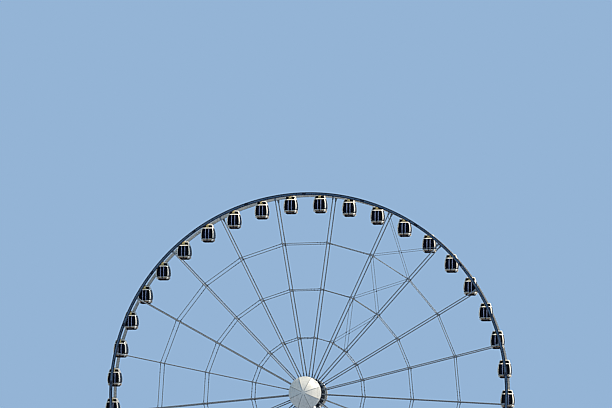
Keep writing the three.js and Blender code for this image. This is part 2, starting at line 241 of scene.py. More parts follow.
def run(start, end, outline, up=(0, 1, 0), taper=1.0):
    """Outline swept in a straight line, with its second direction up."""
    start, end = Vector(start), Vector(end)
    along = (end - start).normalized()
    side = Vector(up).cross(along)
    if side.length < 1e-3:
        side = Vector((1, 0, 0)).cross(along)
    side.normalize()
    top = along.cross(side)
    rings = []
    for place, size in ((start, 1.0), (end, taper)):
        rings.append([place + side * u * size + top * v * size for u, v in outline])
    return sweep(rings)


def plate(outline, start, end):
    """Outline in x and z, swept along y."""
    return sweep([[(x, y, z) for x, z in outline] for y in sorted((start, end))])


def side_plate(outline, start, end):
    """Outline in y and z, swept along x."""
    return sweep([[(x, y, z) for y, z in outline] for x in sorted((start, end))])


def block(x, cut, levels):
    """Upright block through levels of (height, width, depth)."""
    return sweep([[(x + u, v, z) for u, v in chamfered(width, depth, cut)] for z, width, depth in levels])


# Places on the wheel


def wheel_angle(index, count):
    return TOP + index * 2 * math.pi / count


def spoke_angle(index):
    return wheel_angle(index + 0.5, SPOKE_COUNT)


def polar(radius, angle, y=0.0):
    return Vector((radius * math.cos(angle), y, HUB_HEIGHT + radius * math.sin(angle)))


def wheel_place(radius, angle, y=0.0):
    """Frame on the wheel: x outward, y along the axle, z round the rim."""
    outward = Vector((math.cos(angle), 0, math.sin(angle)))
    along = Vector((0, 1, 0))
    matrix = Matrix((outward, along, outward.cross(along))).transposed().to_4x4()
    matrix.translation = polar(radius, angle, y)
    return matrix


class Piece:
    """Closed shapes with finishes, made into one mesh that stands for a CAD node."""

    def __init__(self, node, kind=None, finish=None):
        self.node, self.name, self.finish = node, f"{node}_{kind}" if kind else node, finish
        self.corners, self.faces, self.marks, self.soft, self.finishes = [], [], [], [], []

    def add(self, shape, finish=None, smooth=False, place=None):
        """Adds a shape, in the frame of a place if it has one."""
        corners, faces = shape
        finish = finish or self.finish
        if place is not None:
            corners = [place @ p for p in corners]
        if finish not in self.finishes:
            self.finishes.append(finish)
        start = len(self.corners)
        self.corners += corners
        self.faces += [tuple(start + i for i in face) for face in faces]
        self.marks += [self.finishes.index(finish)] * len(faces)
        self.soft += [smooth and len(face) == 4 for face in faces]

    def rod(self, start, end, radius, finish=None, sides=12, smooth=True, place=None):
        self.add(run(start, end, circle(radius, sides)), finish, smooth, place)

    def nut(self, start, end, radius, sides=6):
        """Adds a zinc bar with flat sides."""
        self.rod(start, end, radius, "zinc", sides, smooth=False)

    def bolt(self, spot, way, radius, height):
        self.nut(spot, Vector(spot) + Vector(way).normalized() * height, radius)

    def ring(self, section, steps, finish=None, smooth=True):
        """Adds a closed section of (radius, y), swept round the axle."""
        rings = [[polar(r, FULL_TURN * i / steps, y) for r, y in section] for i in range(steps)]
        self.add(sweep(rings, closed=True), finish, smooth)

    def box(self, start, end, cut, finish=None, place=None):
        """Adds a box between two corners, with its edges along z cut."""
        (x0, x1), (y0, y1), (z0, z1) = (sorted(pair) for pair in zip(start, end))
        x, y = (x0 + x1) / 2, (y0 + y1) / 2
        outline = chamfered(x1 - x0, y1 - y0, cut)
        self.add(sweep([[(x + u, y + v, z) for u, v in outline] for z in (z0, z1)]), finish, place=place)

    def slab(self, x, y, u, v, low, high, cut, finish=None):
        """Adds a box round an upright line, with half widths u and v."""
        self.box((x - u, y - v, low), (x + u, y + v, high), cut, finish)

    def mesh(self, crease=CREASE):
        mesh = bpy.data.meshes.new(self.name)
        mesh.from_pydata([tuple(p * MODEL_SCALE) for p in self.corners], [], self.faces)
        mesh.polygons.foreach_set("material_index", self.marks)
        mesh.polygons.foreach_set("use_smooth", self.soft)
        for finish in self.finishes:
            mesh.materials.append(FINISHES[finish])
        shape = bmesh.new()
        shape.from_mesh(mesh)
        bmesh.ops.remove_doubles(shape, verts=shape.verts, dist=MERGE_DISTANCE)
        bmesh.ops.recalc_face_normals(shape, faces=shape.faces)
        shape.to_mesh(mesh)
        shape.free()
        mesh.set_sharp_from_angle(angle=crease)
        return mesh

    def show(self, body="structure", crease=CREASE):
        show_mesh(self.name, self.mesh(crease), body, self.node)


def placed(name, data):
    thing = bpy.data.objects.new(name, data)
    bpy.context.scene.collection.objects.link(thing)
    return thing


def show_mesh(name, mesh, body, node, place=(0, 0, 0)):
    """Puts a mesh in the scene, on a body and in place of a CAD node."""
    piece = placed(name, mesh)
    piece.location = Vector(place) * MODEL_SCALE
    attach(piece, body)
    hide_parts(node)


# Finishes

FINISHES = {}


def linear(red, green, blue):
    """Linear colour from 0 to 255 values."""
    values = []
    for value in (red, green, blue):
        share = value / 255
        values.append(share / 12.92 if share <= 0.04045 else ((share + 0.055) / 1.055) ** 2.4)
    return (*values, 1.0)


def fill(tree, node, inputs):
    """Sets inputs of a node to values or to outputs of other nodes."""
    for key, value in inputs.items():
        if isinstance(value, bpy.types.NodeSocket):
            tree.links.new(value, node.inputs[key])
        else:
            node.inputs[key].default_value = value


def new_node(tree, kind, inputs, **settings):
    node = tree.nodes.new(kind)
    for name, value in settings.items():
        setattr(node, name, value)
    fill(tree, node, inputs)
    return node


def noise(tree, point, scale, detail=3.0):
    inputs = {"Vector": point, "Scale": scale, "Detail": detail}
    return new_node(tree, "ShaderNodeTexNoise", inputs).outputs["Fac"]


def spread(tree, source, low, high, start=0.3, end=0.7):
    inputs = {"Value": source, "From Min": start, "From Max": end, "To Min": low, "To Max": high}
    return new_node(tree, "ShaderNodeMapRange", inputs).outputs["Result"]


def blend(tree, factor, first, second):
    return new_node(tree, "ShaderNodeMix", {0: factor, 6: first, 7: second}, data_type="RGBA").outputs[2]


def dimmed(colour, share):
    return (*(value * share for value in colour[:3]), 1.0)


def paint(name, colour, rough, metal=0.0, uneven=0.2, patch=1.2, grime=0.25, streak=0.0, bump=0.1,
          grain=90.0, coat=0.0, gloss=0.5, index=1.45, stain=(96, 84, 70)):
    """Finish with patches, spots of grime, rain streaks and a fine grain."""
    material = bpy.data.materials.new(name)
    material.use_nodes = True
    tree = material.node_tree
    point = new_node(tree, "ShaderNodeTexCoord", {}).outputs["Object"]
    base, stain = linear(*colour), linear(*stain)
    patches = spread(tree, noise(tree, point, patch), 0.0, 1.0)
    tint = blend(tree, patches, dimmed(base, 1 - uneven), base)
    spots = spread(tree, noise(tree, point, patch * 5, 6.0), 0.0, grime, 0.52, 0.78)
    tint = blend(tree, spots, tint, dimmed(stain, 0.8))
    if streak:
        tall = new_node(tree, "ShaderNodeMapping", {"Vector": point, "Scale": (1.0, 1.0, 0.06)})
        rain = noise(tree, tall.outputs["Vector"], 9.0, 4.0)
        tint = blend(tree, spread(tree, rain, 0.0, streak, 0.5, 0.72), tint, stain)
    fine = noise(tree, point, grain, 4.0)
    relief = new_node(tree, "ShaderNodeBump", {"Strength": bump, "Distance": 0.002, "Height": fine})
    fill(tree, tree.nodes["Principled BSDF"], {
        "Base Color": tint, "Roughness": spread(tree, fine, rough - 0.07, rough + 0.09), "Metallic": metal,
        "Specular IOR Level": gloss, "IOR": index, "Coat Weight": coat, "Coat Roughness": 0.08,
        "Normal": relief.outputs["Normal"],
    })
    FINISHES[name] = material
    return material


paint("rim_navy", (40, 50, 64), 0.42, uneven=0.25, streak=0.12, gloss=0.35)
paint("rim_blue", (94, 114, 130), 0.45, streak=0.12, gloss=0.35)
paint("rim_grey", (196, 190, 176), 0.5, uneven=0.12)
paint("spoke_paint", (134, 138, 137), 0.42, uneven=0.12)
paint("tie_grey", (134, 134, 126), 0.5, metal=0.45, uneven=0.1, bump=0.03)
paint("zinc", (128, 132, 136), 0.4, metal=0.7, uneven=0.35, patch=6.0)
paint("block_grey", (226, 222, 204), 0.45)
paint("hub_steel", (66, 68, 70), 0.45, metal=0.3, uneven=0.25, grime=0.35)
paint("lug_paint", (214, 208, 196), 0.45, grime=0.4)
paint("dark_steel", (44, 46, 50), 0.5, metal=0.3)
paint("dome_white", (226, 218, 200), 0.35, uneven=0.08, grime=0.12, streak=0.12, coat=0.2)
paint("dome_seam", (150, 148, 140), 0.5, uneven=0.1, grime=0.5)
paint("leg_paint", (206, 205, 200), 0.42, uneven=0.07, grime=0.1, streak=0.1)
paint("galvanised", (132, 137, 142), 0.45, metal=0.5, uneven=0.3, patch=4.0, grime=0.35)
paint("deck_plate", (112, 114, 116), 0.55, metal=0.4, uneven=0.25, grime=0.5, bump=0.5)
paint("tread_grip", (82, 84, 86), 0.75, metal=0.2, grime=0.5, bump=0.8, grain=160.0)
paint("pad_timber", (122, 98, 70), 0.8, uneven=0.35, patch=3.0, grime=0.5, bump=0.6)
paint("cream", (228, 217, 196), 0.32, uneven=0.06, grime=0.1, streak=0.1, coat=0.3)
paint("ochre", (236, 204, 132), 0.45, uneven=0.15, grime=0.2)
paint("mullion", (134, 142, 168), 0.35, uneven=0.1, grime=0.1)
# Ledge: the top band of the sill, lighter than the sill below; partly its own light paint and partly a painted
# highlight for the sun on its top edge
paint("ledge", (208, 198, 178), 0.4, uneven=0.1, grime=0.2, streak=0.15)
paint("glass", (8, 10, 26), 0.1, uneven=0.35, grime=0.03, bump=0.02, index=1.22, stain=(60, 62, 66))
paint("seal", (16, 16, 18), 0.6, grime=0.1, gloss=0.3)
paint("belly", (58, 42, 30), 0.55, uneven=0.3, grime=0.4, gloss=0.3)
paint("sill", (150, 122, 92), 0.45, grime=0.4, streak=0.3)
# Near black: partly the roof box's dark paint and partly painted shade in the recess under the roof
paint("louvre_paint_and_shade", (14, 13, 14), 0.7, gloss=0.2)
paint("nosing", (206, 196, 120), 0.6, uneven=0.15, grime=0.4)


# Rims


def rim(side):
    """Box rim with ribs on its web, and what is fixed to it."""
    piece = Piece(f"rim_{ENDS[side]}", "ring", "rim_navy")
    middle = side * RIM_SPACING / 2
    outer, inner = middle + side * RIM_WIDTH / 2, middle - side * RIM_WIDTH / 2
    web, back, shoulder = outer - side * WEB_RECESS, inner + side * 0.02, outer - side * RIM_CUT
    for low, high in ((RIM_INNER, RIM_INNER + FLANGE_DEPTH), (RIM_OUTER - FLANGE_DEPTH, RIM_OUTER)):
        piece.ring([
            (low, back), (low, shoulder), (low + RIM_CUT, outer),
            (high - RIM_CUT, outer), (high, shoulder), (high, back),
        ], RIM_STEPS)
    low, high = RIM_INNER + FLANGE_DEPTH - 0.01, RIM_OUTER - FLANGE_DEPTH + 0.01
    piece.ring([(low, back), (low, web), (high, web), (high, back)], RIM_STEPS, "rim_blue")
    piece.ring([
        (RIM_INNER + 0.004, inner + side * 0.022), (RIM_INNER + RIM_CUT, inner),
        (RIM_OUTER - RIM_CUT, inner), (RIM_OUTER - 0.004, inner + side * 0.022),
    ], RIM_STEPS, "rim_grey")
    half, top = (RIM_OUTER - RIM_INNER) / 2 - FLANGE_DEPTH + 0.01, outer - side * 0.006
    for i in range(CABIN_COUNT):
        add_bearing(piece, side, wheel_angle(i + 0.5, CABIN_COUNT))
        for step in (-0.25, 0.25):
            rib = wheel_place(RIM_MIDDLE, wheel_angle(i + step, CABIN_COUNT))
            piece.box((-half, web, -0.012), (half, top, 0.012), 0.003, place=rib)
    for i in range(SPOKE_COUNT):
        add_gusset(piece, middle, spoke_angle(i))
        add_splice(piece, side, web, inner, wheel_angle(i, SPOKE_COUNT))
    piece.show("wheel")


def add_bearing(piece, side, angle):
    """Bearing of a cabin."""
    place = wheel_place(PIVOT_RADIUS, angle)
    face = side * (RIM_SPACING - RIM_WIDTH) / 2
    foot, reach = face - side * 0.03, face - side * BEARING_LENGTH
    piece.add(run((0, face, 0), (0, foot, 0), chamfered(0.36, 0.26, 0.03), up=UP), "block_grey", place=place)
    piece.rod((0, face - side * 0.025, 0), (0, reach, 0), 0.125, "block_grey", 20, place=place)
    piece.rod((0, reach + side * 0.03, 0), (0, reach, 0), 0.13, "zinc", 20, place=place)
    for u, v in signs(0.145, 0.09):
        piece.bolt(place @ Vector((v, foot, u)), (0, -side, 0), 0.018, 0.02)


def add_gusset(piece, middle, angle):
    """Two plates from a rim to a spoke, with a pin."""
    place = wheel_place(RIM_INNER, angle)
    outline = mirrored((-0.46, 0.08), (-0.05, 0.16), (0.004, 0.17))
    for y in (middle - 0.06, middle + 0.036):
        piece.add(plate(outline, y, y + 0.024), "spoke_paint", place=place)
    piece.rod((-0.36, middle - 0.095, 0), (-0.36, middle + 0.095, 0), 0.05, "zinc", place=place)
    for t, way in signs(0.11, 1):
        piece.bolt(place @ Vector((-0.05, middle + way * 0.061, t)), (0, way, 0), 0.02, 0.022)


def add_splice(piece, side, web, inner, angle):
    """Bolted joint of a rim."""
    place = wheel_place(RIM_MIDDLE, angle)
    for face, way, height, finish in ((web, side, 0.17, "rim_navy"), (inner, -side, 0.3, "rim_grey")):
        top = face + way * 0.014
        cover = run((0, face, 0), (0, top, 0), chamfered(0.52, height, 0.02), up=(1, 0, 0))
        piece.add(cover, finish, place=place)
        for t in (-0.2, -0.12, 0.12, 0.2):
            for r in (-height / 4, height / 4):
                piece.bolt(place @ Vector((r, top, t)), (0, way, 0), 0.016, 0.014)
    half = RIM_WIDTH / 2 - 0.03
    for radius, way in ((RIM_OUTER, 1), (RIM_INNER, -1)):
        seam = wheel_place(radius, angle, side * RIM_SPACING / 2)
        piece.box((-way * 0.004, -half, -0.2), (-way * 0.02, half, 0.2), 0.003, place=seam)


# Spokes


def spokes(side):
    """Spokes of one side with forks, ties, braces and, at the front, the struts."""
    piece = Piece(f"spokes_{ENDS[side]}", "tubes", "spoke_paint")
    y = side * RIM_SPACING / 2
    for i in range(SPOKE_COUNT):
        angle = spoke_angle(i)
        for low, high, radius, finish, sides in (
            (2.75, RIM_INNER - 0.3, SPOKE_TUBE, "spoke_paint", 16), (2.55, 2.8, 0.085, "zinc", 16),
            (RIM_INNER - 0.4, RIM_INNER - 0.28, 0.055, "zinc", 12),
        ):
            piece.rod(polar(low, angle, y), polar(high, angle, y), radius, finish, sides)
        add_fork(piece, angle, y)
        for radius in TIE_RADII:
            add_node(piece, radius, angle, y)
    for radius in TIE_RADII:
        for i in range(SPOKE_COUNT):
            add_tie(piece, radius, i, y)
    for bay in BRACED_BAYS:
        add_braces(piece, bay, y)
    if side < 0:
        add_struts(piece)
    piece.show("wheel")


def add_fork(piece, angle, y):
    """Fork that holds a spoke on its lug of the hub flange."""
    place = wheel_place(FLANGE_RADIUS, angle, y)
    cheek = mirrored((0.005, 0.075), (0.36, 0.075), (0.47, 0.05))
    for way in (-1, 1):
        piece.add(plate(cheek, way * 0.05, way * 0.085), place=place)
    piece.add(run((0.4, 0, 0), (0.52, 0, 0), chamfered(0.15, 0.17, 0.02), taper=0.85), place=place)
    piece.rod((0.14, -0.11, 0), (0.14, 0.11, 0), 0.038, "zinc", place=place)


def add_node(piece, radius, angle, y):
    """Sleeve on a spoke with the lugs of its ties."""
    for low, high, size, finish in (
        (-SLEEVE_HALF, SLEEVE_HALF, SLEEVE_TUBE, "spoke_paint"), (-SLEEVE_HALF, -0.15, SLEEVE_RING, "zinc"),
        (0.15, SLEEVE_HALF, SLEEVE_RING, "zinc"),
    ):
        piece.rod(polar(radius + low, angle, y), polar(radius + high, angle, y), size, finish, 16)
    for way in (-1, 1):
        lug = [(-0.06, way * 0.06), (0.07, way * 0.06), (0.035, way * 0.26), (-0.045, way * 0.26)]
        piece.add(plate(lug, -0.02, 0.02), place=wheel_place(radius, angle, y))


def add_tie(piece, radius, index, y):
    """Tie from spoke to spoke, with a turnbuckle."""
    start, end = polar(radius, spoke_angle(index), y), polar(radius, spoke_angle(index + 1), y)
    along = (end - start).normalized()
    piece.rod(start + along * 0.2, end - along * 0.2, TIE_TUBE, "tie_grey")
    for spot in (start + along * 0.3, end - along * 0.3):
        piece.rod(spot - along * 0.09, spot + along * 0.09, 0.056, "zinc")
    middle, half = start + along * 1.1, 0.22
    for offset in (Vector((0, -0.055, 0)), Vector((0, 0.055, 0))):
        piece.nut(middle - along * half + offset, middle + along * half + offset, 0.02)
    for way in (-half, half):
        nut = middle + along * way
        piece.nut(nut - along * 0.035, nut + along * 0.035, 0.075)


def add_braces(piece, bay, y):
    """Crossed rods in each field of a bay, with a disc where they cross."""
    levels = (*TIE_RADII, BRACE_REACH)
    for low, high in zip(levels, levels[1:]):
        ends = []
        for start, end in ((bay, bay + 1), (bay + 1, bay)):
            a, b = polar(low, spoke_angle(start), y), polar(high, spoke_angle(end), y)
            piece.rod(a, b, BRACE_ROD, "tie_grey", 8)
            for spot, way in ((a, (b - a).normalized()), (b, (a - b).normalized())):
                piece.rod(spot + way * 0.1, spot + way * 0.4, 0.04, "zinc", 8)
            ends.append((a, b))
        (a, b), (c, d) = ends
        cross = a.lerp(b, (a - c).length / ((a - c).length + (b - d).length))
        half = Vector((0, 0.03, 0))
        piece.rod(cross - half, cross + half, 0.09, "zinc", 16)


def add_struts(piece):
    """Struts from the front to the rear spokes, with collars."""
    half = RIM_SPACING / 2
    for radius in TIE_RADII:
        for angle in map(spoke_angle, range(SPOKE_COUNT)):
            piece.rod(polar(radius, angle, -half), polar(radius, angle, half - 0.08), STRUT_TUBE, "tie_grey")
            for y in (-half + 0.12, half - 0.16):
                piece.rod(polar(radius, angle, y - 0.03), polar(radius, angle, y + 0.03), 0.075, "dark_steel")


# Hub


def hub():
    """Ribbed drum on a shaft, with the lugs of the spokes on two flanges."""
    piece = Piece("hub_spool", "wheel", "hub_steel")
    half, foot, edge = RIM_SPACING / 2, DRUM_RADIUS - 0.05, FLANGE_RADIUS
    lug = plate(mirrored((-0.4, 0.09), (0.1, 0.09), (0.24, 0.05)), -0.04, 0.04)
    deep = FLANGE_THICKNESS / 2 - 0.05
    for side in (-1, 1):
        low, high = side * half - FLANGE_THICKNESS / 2, side * half + FLANGE_THICKNESS / 2
        for near, far in ((low, low + FLANGE_PLATE), (high - FLANGE_PLATE, high)):
            piece.ring([
                (foot, near), (edge - 0.03, near), (edge, near + 0.015),
                (edge, far - 0.015), (edge - 0.03, far), (foot, far),
            ], 84, smooth=False)
        near, far = low + 0.03, high - 0.03
        core = [(foot, near), (CORE_RADIUS, near), (CORE_RADIUS, far), (foot, far)]
        piece.ring(core, 84, "dark_steel", smooth=False)
        for angle in map(spoke_angle, range(SPOKE_COUNT)):
            piece.add(lug, "lug_paint", place=wheel_place(edge, angle, side * half))
            rib = wheel_place(edge, angle + math.pi / SPOKE_COUNT, side * half)
            piece.box((-0.34, -deep, -0.015), (-0.02, deep, 0.015), 0.003, place=rib)
            for y, way in ((low, -1), (high, 1)):
                piece.bolt(polar(1.55, angle, y), (0, way, 0), 0.045, 0.035)
    bore, waist = SHAFT_RADIUS - 0.02, DRUM_RADIUS - 0.04
    piece.ring(mirrored((bore, half), (DRUM_RADIUS, half), (DRUM_RADIUS, half - 0.5), (waist, half - 0.55)), 72)
    for i in range(DRUM_RIBS):
        rib = wheel_place(DRUM_RADIUS, wheel_angle(i, DRUM_RIBS))
        piece.box((-0.06, -half + 0.18, -0.02), (0.24, half - 0.18, 0.02), 0.005, place=rib)
    piece.ring(mirrored((0.02, SHAFT_HALF), (SHAFT_RADIUS, SHAFT_HALF)), 48, "zinc")
    piece.show("wheel")


def housing_outline(inset):
    wide, crown, shoulder = HOUSING_HALF - inset, HOUSING_DROP - inset, -HOUSING_SHOULDER - inset
    bottom, steps = -HOUSING_DROP + inset * 0.2, 24
    arch = [on_circle(crown, math.pi * i / steps) for i in range(steps + 1)]
    return [(-wide, bottom), (wide, bottom), (wide, shoulder), *arch, (-wide, shoulder)]


def housing(side):
    """Bearing housing with a round crown, bolted through its shoulders."""
    piece = Piece(f"bearing_{ENDS[side]}", "housing", "leg_paint")
    near, far = side * HOUSING_NEAR, side * HOUSING_FAR
    bore = SHAFT_RADIUS + 0.01
    cut, whole = housing_outline(0.03), housing_outline(0.0)
    inner = [on_circle(bore, math.atan2(z, x)) for x, z in whole]
    edges = near + side * 0.03, far - side * 0.03
    outlines = (near, cut), (edges[0], whole), (edges[1], whole), (far, cut), (far, inner), (near, inner)
    rings = [[(x, y, HUB_HEIGHT + z) for x, z in outline] for y, outline in outlines]
    piece.add(sweep(rings, closed=True))
    for x in (-0.93, 0.93):
        for y in (0.28, 0.72):
            spot = Vector((x, near + side * y, HUB_HEIGHT - HOUSING_SHOULDER - 0.02))
            piece.nut(spot, spot + UP * 0.16, 0.03, 8)
            piece.nut(spot + UP * 0.01, spot + UP * 0.08, 0.06)
    low, high = sorted((near - side * 0.002, near + side * 0.05))
    seal = SEAL_RING_RADIUS
    piece.ring([(bore, low), (seal, low), (seal + 0.02, high), (bore, high)], 48, "zinc")
    for i in range(HOUSING_BOLTS):
        piece.bolt(polar(0.7, FULL_TURN * i / HOUSING_BOLTS, near), (0, -side, 0), 0.03, 0.025)
    piece.show()


def dome_height(radius, turn):
    """Height of a cap over its lip, at a turn in gores."""
    share, half = radius / CAP_RADIUS, math.pi / CAP_GORES
    flat = (math.cos((turn % 1.0 - 0.5) * 2 * half) / math.cos(half)) ** 2 - 1
    return CAP_BULGE * (1 - share ** 2 * (1 + flat * (1 - share ** 8)))


def dome(side):
    """Domed cap in gores, with raised seams, a lip and a boss."""
    piece = Piece(f"hub_cap_{ENDS[side]}", "dome", "dome_white")
    per_gore, steps = 14, 16
    count = CAP_GORES * per_gore
    back = HOUSING_FAR + 0.0006
    lip, top = back + CAP_LIP, back + CAP_LIP + CAP_BULGE
    edge = (0.0, back), (CAP_RADIUS - 0.03, back), (CAP_RADIUS, back + 0.03), (CAP_RADIUS, lip - 0.02)
    profiles = [[corner] * count for corner in edge]
    for i in range(steps):
        radius = CAP_RADIUS * (1 - 0.012) * (1 - i / steps)
        profiles.append([(radius, lip + dome_height(radius, j / per_gore)) for j in range(count)])
    profiles.append([(0.0, top)] * count)
    turns = [CAP_TURN + FULL_TURN * j / count for j in range(count)]
    rings = [[polar(r, turn, side * y) for turn, (r, y) in zip(turns, profile)] for profile in profiles]
    piece.add(sweep(rings, capped=False), smooth=True)
    for turn in turns[::per_gore]:
        add_seam(piece, side, turn, lip)
    boss = ((0.0, top - 0.08), (0.32, top - 0.05), (0.3, top - 0.012), (0.0, top))
    piece.ring([(radius, side * y) for radius, y in boss], 40)
    for i in range(CAP_BOLTS):
        angle = CAP_TURN + FULL_TURN * (i + 0.5) / CAP_BOLTS
        spot = polar(CAP_RADIUS - 0.001, angle, side * (back + 0.07))
        piece.bolt(spot, (math.cos(angle), 0, math.sin(angle)), 0.022, 0.012)
    piece.show(crease=DOME_CREASE)


def add_seam(piece, side, angle, lip):
    across = Vector((-math.sin(angle), 0, math.cos(angle)))
    section = ((-0.035, -0.02), (-0.022, 0.012), (0.022, 0.012), (0.035, -0.02))
    rings = []
    for step in range(13):
        radius = 0.3 + (CAP_RADIUS - 0.34) * step / 12
        slope = math.atan(2 * CAP_BULGE * radius / CAP_RADIUS ** 2)
        lean = math.sin(slope)
        out = Vector((math.cos(angle) * lean, side * math.cos(slope), math.sin(angle) * lean))
        middle = polar(radius, angle, side * (lip + dome_height(radius, 0.0)))
        rings.append([middle + across * u + out * v for u, v in section])
    piece.add(sweep(rings), "dome_seam")


# Legs and base frame


def leg(side_y, side_x):
    """Tube leg in bolted lengths, from its shoe to the bearing housing."""
    piece = Piece(f"leg_{ENDS[side_y]}_{'left' if side_x < 0 else 'right'}", "tube", "leg_paint")
    foot = Vector((side_x * LEG_FOOT[0], side_y * LEG_FOOT[1], SHOE_TOP))
    top = Vector((side_x * LEG_TOP[0], side_y * LEG_TOP[1], HUB_HEIGHT - HOUSING_DROP))
    along = (top - foot).normalized()
    across = Vector((0, 1, 0)).cross(along).normalized()
    other = along.cross(across)
    tube = LEG_RADIUS * 0.97

    def ring(place, radius, height=None):
        """Ring round the tube, square to it or cut level."""
        spots = [place + across * u + other * v for u, v in circle(radius, 32)]
        if height is None:
            return spots
        return [spot + along * ((height - spot.z) / along.z) for spot in spots]

    piece.add(sweep([
        ring(foot, tube, foot.z + 0.001), ring(foot + along * 1.2, tube),
        ring(top - along * 1.2, tube), ring(top, tube, top.z - 0.001),
    ]), smooth=True)
    for share in LEG_JOINTS:
        add_leg_joint(piece, foot + along * (top - foot).length * share, along, across, other)
    for place, size, low, high in ((foot, 0.16, 0.002, 0.05), (top, 0.1, -0.06, -0.002)):
        piece.add(sweep([ring(place, LEG_RADIUS + size, place.z + step) for step in (low, high)]))
    piece.show()


def add_leg_joint(piece, joint, along, across, other):
    """Two flanges with bolts through them, and fins to the tube."""
    for way in (-1, 1):
        start, end = joint + along * way * 0.004, joint + along * way * 0.06
        piece.rod(start, end, LEG_RADIUS + 0.12, sides=40, smooth=False)
    for i in range(LEG_BOLTS):
        angle = FULL_TURN * i / LEG_BOLTS
        out = across * math.cos(angle) + other * math.sin(angle)
        spot = joint + out * (LEG_RADIUS + 0.06)
        piece.nut(spot - along * 0.1, spot + along * 0.1, 0.028)
        if i % 2:
            continue
        for way in (-1, 1):
            start = joint + along * way * 0.06 + out * LEG_RADIUS
            piece.add(run(start, start + along * way * 0.26, chamfered(0.02, 0.1, 0.004), up=out, taper=0.35))


def add_i_beam(piece, start, end, width, top, stiffeners):
    """Beam of I section, with plates across its web."""
    start, end = Vector((*start, 0)), Vector((*end, 0))
    along = (end - start).normalized()
    across = Vector((-along.y, along.x, 0))
    low, high, half = PAD_HEIGHT + BEAM_SKIN, top - BEAM_SKIN, width / 2

    def add_bar(ends, u, v, w):
        section = ((-u, v), (u, v), (u, w), (-u, w))
        piece.add(sweep([[place + across * a + UP * b for a, b in section] for place in ends]))

    for u, v, w in ((half, PAD_HEIGHT, low), (half, high, top), (0.02, low, high)):
        add_bar((start, end), u, v, w)
    for i in range(stiffeners):
        place = start.lerp(end, (i + 0.5) / stiffeners)
        add_bar((place + along * -0.012, place + along * 0.012), half - 0.02, low, high)


def base_frame():
    """Beams on their pads, with the shoes of the legs."""
    piece = Piece("base_frame", "steelwork", "galvanised")
    foot_x, foot_y = LEG_FOOT
    for y in (-foot_y, foot_y):
        add_i_beam(piece, (-SIDE_BEAM_HALF, y), (SIDE_BEAM_HALF, y), BEAM_WIDTH, BEAM_TOP - 0.001, 20)
    for x in CROSS_BEAM_XS:
        add_i_beam(piece, (x, -CROSS_BEAM_HALF), (x, CROSS_BEAM_HALF), BEAM_WIDTH - 0.01, BEAM_TOP, 11)
        for side in (-1, 1):
            add_pad(piece, x, side * (CROSS_BEAM_HALF - PAD_SIZE / 2))
            for v, u in signs(0.17, 0.16):
                piece.bolt((x + u, side * foot_y + v, BEAM_TOP), UP, 0.028, 0.03)
    for x, y in signs(foot_x, foot_y):
        add_pad(piece, x, y)
        add_shoe(piece, x, y)
    piece.show()


def add_pad(piece, x, y):
    """Timber sleepers under a steel plate, with two jacks."""
    half, rest = PAD_SIZE / 2, PAD_HEIGHT - 0.03
    for i in (-1.5, -0.5, 0.5, 1.5):
        piece.slab(x, y + i * half / 2, half, half / 4 - 0.008, 0.0, rest, 0.012, "pad_timber")
    piece.slab(x, y, half - 0.04, half - 0.04, rest, PAD_HEIGHT, 0.01)
    for step in (-0.38, 0.38):
        jack = Vector((x + step, y, PAD_HEIGHT))
        piece.rod(jack, jack + UP * 0.22, 0.05, "zinc", 16)
        piece.nut(jack, jack + UP * 0.03, 0.09)


def add_shoe(piece, x, y):
    """Shoe of a leg: two plates with ribs between them, bolted down."""
    half, inside, low, high = SHOE_SIZE / 2, SHOE_SIZE / 2 - 0.05, BEAM_TOP + SHOE_PLATE, SHOE_TOP - SHOE_PLATE
    for bottom, top in ((BEAM_TOP - 0.002, low), (high, SHOE_TOP)):
        piece.slab(x, y, half, half, bottom, top, 0.03, "leg_paint")
    for i in (-2, -1, 0, 1, 2):
        piece.slab(x + i * (half - 0.08) / 2, y, 0.015, inside, low, high, 0.004, "leg_paint")
    piece.slab(x, y, inside, 0.015, low, high, 0.004, "leg_paint")
    for u in (-0.5, -0.2, 0.2, 0.5):
        for v in (-0.5, 0.5):
            piece.bolt((x + u, y + v, SHOE_TOP), UP, 0.03, 0.03)
            piece.bolt((x + v, y + u * 0.6, SHOE_TOP), UP, 0.03, 0.03)


# Decks and steps


def deck(side):
    """Deck of chequer plates on channels and posts, with railings."""
    piece = Piece(f"deck_{ENDS[side]}", "platform", "galvanised")
    top, bottom = DECK_TOP, DECK_TOP - DECK_THICKNESS
    half, half_y = DECK_HALF, (DECK_OUTER - DECK_INNER) / 2
    middle, inside, rim = side * (DECK_INNER + DECK_OUTER) / 2, half_y - CHANNEL, CHANNEL / 2
    wide, deep = half / DECK_PANELS, inside / DECK_PARTS
    for i in range(DECK_PANELS):
        x = -half + (2 * i + 1) * wide
        for part in range(DECK_PARTS):
            y = middle - inside + (2 * part + 1) * deep
            piece.slab(x, y, wide - 0.006, deep - 0.006, top - 0.03, top, 0.004, "deck_plate")
        for step in (0.06 - wide, wide - 0.06):
            piece.slab(x + step, middle, 0.03, inside, top - 0.15, top - 0.03, 0.004)
    for y in (middle - (half_y - rim), middle + (half_y - rim)):
        piece.slab(0.0, y, half, rim, bottom, top, 0.006)
    for x in (rim - half, half - rim):
        piece.slab(x, middle, rim, half_y - 0.045, bottom, top, 0.006)
    for x in CROSS_BEAM_XS[1:3]:
        for y in DECK_POST_YS:
            add_deck_post(piece, x, side * y)
        piece.slab(x, middle, 0.06, inside, top - 0.19, top - 0.14, 0.006)
    outer, inner = side * (DECK_OUTER - RAIL_INSET), side * (DECK_INNER + RAIL_INSET)
    for way in (-1, 1):
        corner = Vector((way * (half - RAIL_INSET), outer, top))
        add_railing(piece, Vector((way * RAIL_GATE_HALF, outer, top)), corner, 3)
        add_railing(piece, corner, Vector((corner.x, inner, top)), 2)
    piece.show()


